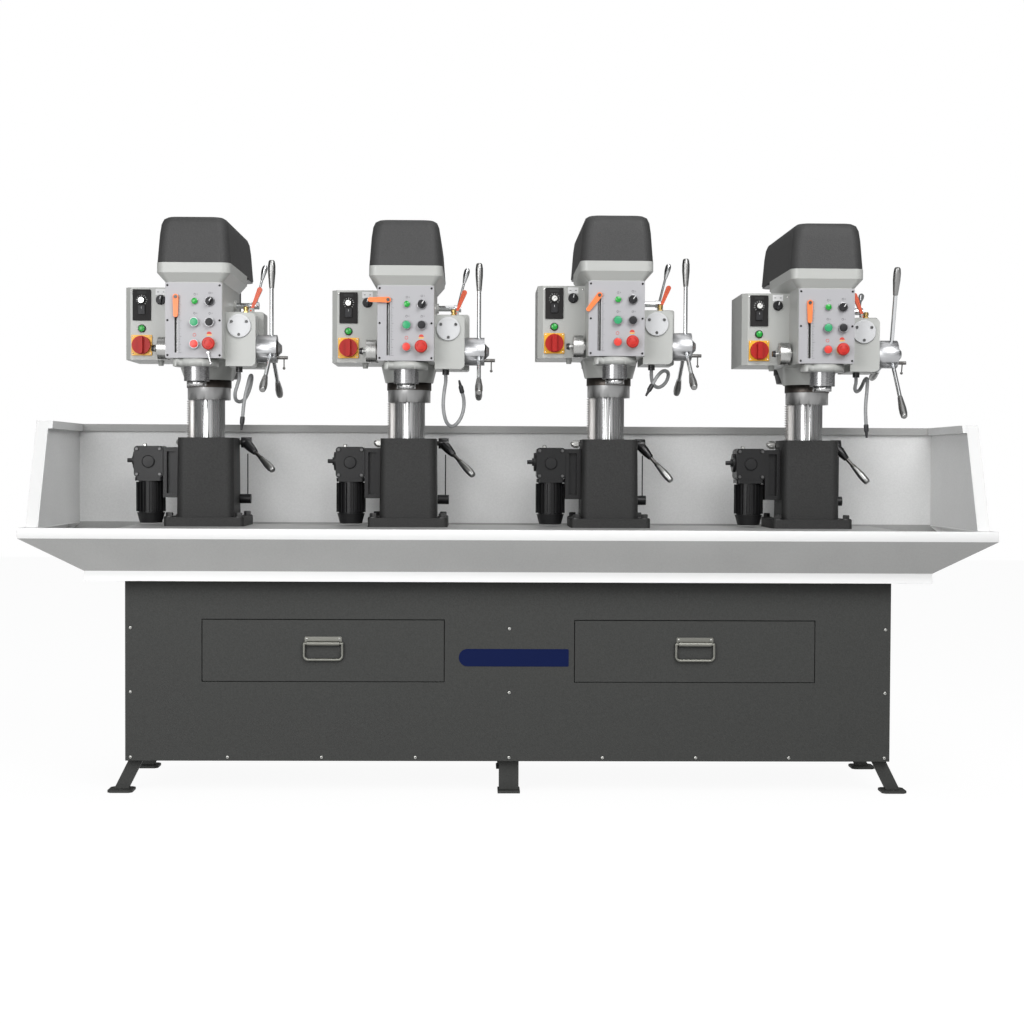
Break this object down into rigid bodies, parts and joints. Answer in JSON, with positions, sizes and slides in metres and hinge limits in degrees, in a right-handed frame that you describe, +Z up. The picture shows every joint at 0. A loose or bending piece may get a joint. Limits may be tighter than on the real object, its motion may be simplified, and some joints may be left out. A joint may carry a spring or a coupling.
{
  "type": "gang drilling machine",
  "caption": "Gang drilling machine: geared drill heads on pedestals in a row, in a sheet-metal chip tray with splash walls, on a cabinet stand with drawers.",
  "frame": {"origin": "on the floor, at the centre of the four anchor holes in the corner feet", "axes": "+X along the length towards the fourth station, -Y towards the operator, +Z up"},
  "size_m": [3.078, 0.7383, 1.846],
  "materials": {
    "charcoal_paint": "fine textured enamel",
    "charcoal_casting": "hammered enamel on cast iron",
    "zinc_steel": "satin zinc",
    "tray_paint": "semi-gloss light grey and white enamel",
    "black_paint": "semi-gloss black enamel",
    "ground_steel": "ground and polished",
    "grey_casting": "light grey enamel on cast iron",
    "black_cover": "leather-grain charcoal",
    "panel_paint": "light grey powder coat",
    "hose_plastic": "grey gooseneck sheath",
    "chrome_steel": "bright plated",
    "orange_plastic": "moulded orange",
    "red_plastic": "moulded red"
  },
  "bodies": {
    "stand": {"cabinet": "charcoal_paint", "chip_tray": "tray_paint", "pedestals": "charcoal_casting", "lift_drives": "black_paint"},
    "left drawer": {"drawer_left": "charcoal_paint"},
    "right drawer": {"drawer_right": "charcoal_paint"},
    "left bail": {"bail_left": "zinc_steel"},
    "right bail": {"bail_right": "zinc_steel"},
    "head 1": {"column_1": "ground_steel", "head_casting_1": "grey_casting", "motor_cover_1": "black_cover", "control_box_1": "panel_paint", "hose_1": "hose_plastic"},
    "quill 1": {"quill_1": "ground_steel"},
    "spindle 1": {"spindle_1": "ground_steel"},
    "capstan 1": {"capstan_1": "chrome_steel"},
    "depth lever 1": {"depth_lever_1": "orange_plastic"},
    "gear lever 1": {"gear_lever_1": "chrome_steel"},
    "feed lever 1": {"feed_lever_1": "orange_plastic"},
    "clamp lever 1": {"clamp_lever_1": "chrome_steel"},
    "estop 1": {"estop_1": "red_plastic"},
    "head 2": {"column_2": "ground_steel", "head_casting_2": "grey_casting", "motor_cover_2": "black_cover", "control_box_2": "panel_paint", "hose_2": "hose_plastic"},
    "quill 2": {"quill_2": "ground_steel"},
    "spindle 2": {"spindle_2": "ground_steel"},
    "capstan 2": {"capstan_2": "chrome_steel"},
    "depth lever 2": {"depth_lever_2": "orange_plastic"},
    "gear lever 2": {"gear_lever_2": "chrome_steel"},
    "feed lever 2": {"feed_lever_2": "orange_plastic"},
    "clamp lever 2": {"clamp_lever_2": "chrome_steel"},
    "estop 2": {"estop_2": "red_plastic"},
    "head 3": {"column_3": "ground_steel", "head_casting_3": "grey_casting", "motor_cover_3": "black_cover", "control_box_3": "panel_paint", "hose_3": "hose_plastic"},
    "quill 3": {"quill_3": "ground_steel"},
    "spindle 3": {"spindle_3": "ground_steel"},
    "capstan 3": {"capstan_3": "chrome_steel"},
    "depth lever 3": {"depth_lever_3": "orange_plastic"},
    "gear lever 3": {"gear_lever_3": "chrome_steel"},
    "feed lever 3": {"feed_lever_3": "orange_plastic"},
    "clamp lever 3": {"clamp_lever_3": "chrome_steel"},
    "estop 3": {"estop_3": "red_plastic"},
    "head 4": {"column_4": "ground_steel", "head_casting_4": "grey_casting", "motor_cover_4": "black_cover", "control_box_4": "panel_paint", "hose_4": "hose_plastic"},
    "quill 4": {"quill_4": "ground_steel"},
    "spindle 4": {"spindle_4": "ground_steel"},
    "capstan 4": {"capstan_4": "chrome_steel"},
    "depth lever 4": {"depth_lever_4": "orange_plastic"},
    "gear lever 4": {"gear_lever_4": "chrome_steel"},
    "feed lever 4": {"feed_lever_4": "orange_plastic"},
    "clamp lever 4": {"clamp_lever_4": "chrome_steel"},
    "estop 4": {"estop_4": "red_plastic"}
  },
  "joints": [
    {"name": "lift_1", "type": "slide", "parent": "stand", "child": "head 1", "axis": [0, 0, 1], "range_m": [-0.11, 0.15]},
    {"name": "quill_feed_1", "type": "slide", "parent": "head 1", "child": "quill 1", "axis": [0, 0, -1], "range_m": [0, 0.12], "stiffness_N_per_m": 400, "springref_m": -0.5},
    {"name": "spindle_turn_1", "type": "hinge", "parent": "quill 1", "child": "spindle 1", "pos_m": [-1.002, -0.245, 1.317], "axis": [0, 0, 1], "continuous": true},
    {"name": "capstan_turn_1", "type": "hinge", "parent": "head 1", "child": "capstan 1", "pos_m": [-0.802, -0.193, 1.424], "axis": [1, 0, 0], "range_deg": [0, 393]},
    {"name": "depth_lever_turn_1", "type": "hinge", "parent": "quill 1", "child": "depth lever 1", "pos_m": [-1.057, -0.3, 1.5785], "axis": [0, 1, 0], "range_deg": [-10, 100]},
    {"name": "gear_change_1", "type": "hinge", "parent": "head 1", "child": "gear lever 1", "pos_m": [-0.902, -0.037, 1.5755], "axis": [1, 0, 0], "range_deg": [-60, 40]},
    {"name": "feed_engage_1", "type": "hinge", "parent": "head 1", "child": "feed lever 1", "pos_m": [-0.845, -0.115, 1.553], "axis": [0, 1, 0], "range_deg": [-44, 0]},
    {"name": "column_clamp_1", "type": "hinge", "parent": "stand", "child": "clamp lever 1", "pos_m": [-0.902, 0.098, 1.126], "axis": [1, 0, 0], "range_deg": [-44, 66]},
    {"name": "stop_button_1", "type": "slide", "parent": "head 1", "child": "estop 1", "axis": [0, 1, 0], "range_m": [0, 0.005], "stiffness_N_per_m": 900, "springref_m": -0.004},
    {"name": "lift_2", "type": "slide", "parent": "stand", "child": "head 2", "axis": [0, 0, 1], "range_m": [-0.105, 0.155]},
    {"name": "quill_feed_2", "type": "slide", "parent": "head 2", "child": "quill 2", "axis": [0, 0, -1], "range_m": [0, 0.12], "stiffness_N_per_m": 400, "springref_m": -0.5},
    {"name": "spindle_turn_2", "type": "hinge", "parent": "quill 2", "child": "spindle 2", "pos_m": [-0.334, -0.245, 1.312], "axis": [0, 0, 1], "continuous": true},
    {"name": "capstan_turn_2", "type": "hinge", "parent": "head 2", "child": "capstan 2", "pos_m": [-0.134, -0.193, 1.419], "axis": [1, 0, 0], "range_deg": [0, 393]},
    {"name": "depth_lever_turn_2", "type": "hinge", "parent": "quill 2", "child": "depth lever 2", "pos_m": [-0.389, -0.3, 1.5735], "axis": [0, 1, 0], "range_deg": [-100, 10]},
    {"name": "gear_change_2", "type": "hinge", "parent": "head 2", "child": "gear lever 2", "pos_m": [-0.234, -0.037, 1.5705], "axis": [1, 0, 0], "range_deg": [-60, 40]},
    {"name": "feed_engage_2", "type": "hinge", "parent": "head 2", "child": "feed lever 2", "pos_m": [-0.177, -0.115, 1.548], "axis": [0, 1, 0], "range_deg": [-44, 0]},
    {"name": "column_clamp_2", "type": "hinge", "parent": "stand", "child": "clamp lever 2", "pos_m": [-0.234, 0.098, 1.126], "axis": [1, 0, 0], "range_deg": [-53, 57]},
    {"name": "stop_button_2", "type": "slide", "parent": "head 2", "child": "estop 2", "axis": [0, 1, 0], "range_m": [0, 0.005], "stiffness_N_per_m": 900, "springref_m": -0.004},
    {"name": "lift_3", "type": "slide", "parent": "stand", "child": "head 3", "axis": [0, 0, 1], "range_m": [-0.124, 0.136]},
    {"name": "quill_feed_3", "type": "slide", "parent": "head 3", "child": "quill 3", "axis": [0, 0, -1], "range_m": [0, 0.12], "stiffness_N_per_m": 400, "springref_m": -0.5},
    {"name": "spindle_turn_3", "type": "hinge", "parent": "quill 3", "child": "spindle 3", "pos_m": [0.334, -0.245, 1.331], "axis": [0, 0, 1], "continuous": true},
    {"name": "capstan_turn_3", "type": "hinge", "parent": "head 3", "child": "capstan 3", "pos_m": [0.534, -0.193, 1.438], "axis": [1, 0, 0], "range_deg": [0, 393]},
    {"name": "depth_lever_turn_3", "type": "hinge", "parent": "quill 3", "child": "depth lever 3", "pos_m": [0.279, -0.3, 1.5925], "axis": [0, 1, 0], "range_deg": [-48, 62]},
    {"name": "gear_change_3", "type": "hinge", "parent": "head 3", "child": "gear lever 3", "pos_m": [0.434, -0.037, 1.5895], "axis": [1, 0, 0], "range_deg": [-60, 40]},
    {"name": "feed_engage_3", "type": "hinge", "parent": "head 3", "child": "feed lever 3", "pos_m": [0.491, -0.115, 1.567], "axis": [0, 1, 0], "range_deg": [-44, 0]},
    {"name": "column_clamp_3", "type": "hinge", "parent": "stand", "child": "clamp lever 3", "pos_m": [0.434, 0.098, 1.126], "axis": [1, 0, 0], "range_deg": [-66, 44]},
    {"name": "stop_button_3", "type": "slide", "parent": "head 3", "child": "estop 3", "axis": [0, 1, 0], "range_m": [0, 0.005], "stiffness_N_per_m": 900, "springref_m": -0.004},
    {"name": "lift_4", "type": "slide", "parent": "stand", "child": "head 4", "axis": [0, 0, 1], "range_m": [-0.104, 0.156]},
    {"name": "quill_feed_4", "type": "slide", "parent": "head 4", "child": "quill 4", "axis": [0, 0, -1], "range_m": [0, 0.12], "stiffness_N_per_m": 400, "springref_m": -0.5},
    {"name": "spindle_turn_4", "type": "hinge", "parent": "quill 4", "child": "spindle 4", "pos_m": [1.002, -0.245, 1.311], "axis": [0, 0, 1], "continuous": true},
    {"name": "capstan_turn_4", "type": "hinge", "parent": "head 4", "child": "capstan 4", "pos_m": [1.202, -0.193, 1.418], "axis": [1, 0, 0], "range_deg": [0, 393]},
    {"name": "depth_lever_turn_4", "type": "hinge", "parent": "quill 4", "child": "depth lever 4", "pos_m": [0.947, -0.3, 1.5725], "axis": [0, 1, 0], "range_deg": [-10, 100]},
    {"name": "gear_change_4", "type": "hinge", "parent": "head 4", "child": "gear lever 4", "pos_m": [1.102, -0.037, 1.5695], "axis": [1, 0, 0], "range_deg": [0, 100]},
    {"name": "feed_engage_4", "type": "hinge", "parent": "head 4", "child": "feed lever 4", "pos_m": [1.159, -0.115, 1.547], "axis": [0, 1, 0], "range_deg": [0, 44]},
    {"name": "column_clamp_4", "type": "hinge", "parent": "stand", "child": "clamp lever 4", "pos_m": [1.102, 0.098, 1.126], "axis": [1, 0, 0], "range_deg": [-69, 41]},
    {"name": "stop_button_4", "type": "slide", "parent": "head 4", "child": "estop 4", "axis": [0, 1, 0], "range_m": [0, 0.005], "stiffness_N_per_m": 900, "springref_m": -0.004},
    {"name": "left_drawer_slide", "type": "slide", "parent": "stand", "child": "left drawer", "axis": [0, -1, 0], "range_m": [0, 0.4]},
    {"name": "left_bail_swing", "type": "hinge", "parent": "left drawer", "child": "left bail", "pos_m": [-0.595, -0.279, 0.482], "axis": [-1, 0, 0], "range_deg": [0, 95]},
    {"name": "right_drawer_slide", "type": "slide", "parent": "stand", "child": "right drawer", "axis": [0, -1, 0], "range_m": [0, 0.4]},
    {"name": "right_bail_swing", "type": "hinge", "parent": "right drawer", "child": "right bail", "pos_m": [0.595, -0.279, 0.482], "axis": [-1, 0, 0], "range_deg": [0, 95]}
  ],
  "couplings": [
    {"joint": "capstan_turn_1", "follows": "quill_feed_1", "rad_per_m": 57.143},
    {"joint": "capstan_turn_2", "follows": "quill_feed_2", "rad_per_m": 57.143},
    {"joint": "capstan_turn_3", "follows": "quill_feed_3", "rad_per_m": 57.143},
    {"joint": "capstan_turn_4", "follows": "quill_feed_4", "rad_per_m": 57.143}
  ]
}
